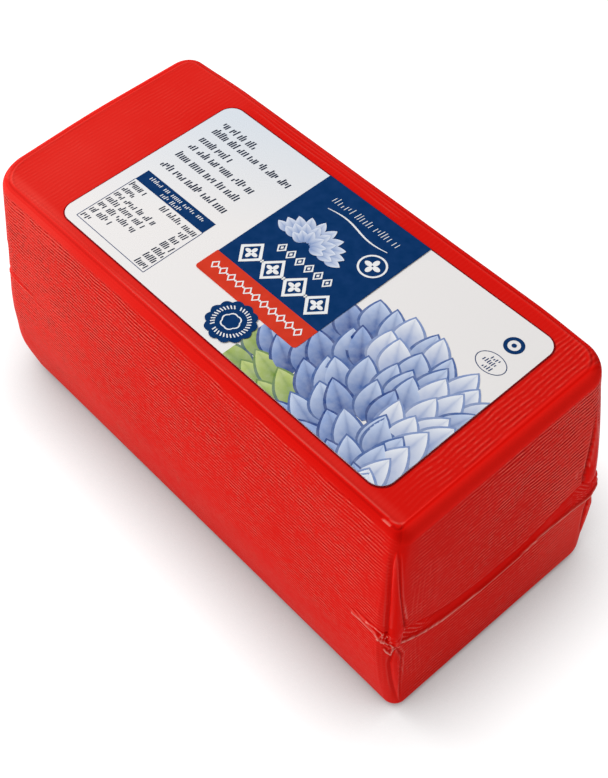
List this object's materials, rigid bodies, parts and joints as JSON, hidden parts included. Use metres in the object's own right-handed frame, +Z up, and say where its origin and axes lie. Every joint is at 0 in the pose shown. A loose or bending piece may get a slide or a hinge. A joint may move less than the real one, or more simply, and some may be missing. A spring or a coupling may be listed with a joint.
{
  "type": "cheese block",
  "caption": "Whole rectangular cheese block shrink-wrapped in opaque red film, with welded end seams and a large printed label on top.",
  "frame": {"origin": "on the floor under the middle of the block's bounding box", "axes": "+X along the block, +Z up out of the labelled top"},
  "size_m": [0.247, 0.1234, 0.1154],
  "materials": {
    "red_film": "satin red shrink film with fine ribs",
    "printed_label": "coated white label, printed in blues and orange-red"
  },
  "bodies": {
    "root": {"cheese_block": "red_film", "label": "printed_label"}
  },
  "joints": []
}
